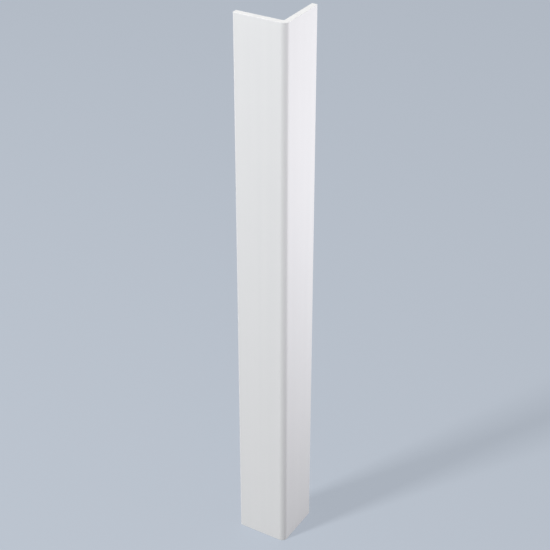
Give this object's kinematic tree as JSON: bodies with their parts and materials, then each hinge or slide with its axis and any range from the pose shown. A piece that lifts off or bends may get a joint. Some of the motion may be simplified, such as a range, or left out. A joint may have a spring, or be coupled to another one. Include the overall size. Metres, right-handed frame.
{
  "type": "corner guard moulding",
  "caption": "Straight L-section moulding with equal wings, a rounded nose and a close inner corner, which covers and protects an outside corner of a wall.",
  "frame": {"origin": "centre of the square that the section fills, at the lower sawn end, on the floor", "axes": "+Z along the length, towards the top end; the front wing shows its face towards -Y and the side wing towards +X, so the nose is at +X -Y and the wall corner goes in from -X +Y"},
  "size_m": [0.0286, 0.0286, 0.3048],
  "materials": {
    "white_pvc": "satin"
  },
  "bodies": {
    "root": {"corner_guard": "white_pvc"}
  },
  "joints": []
}
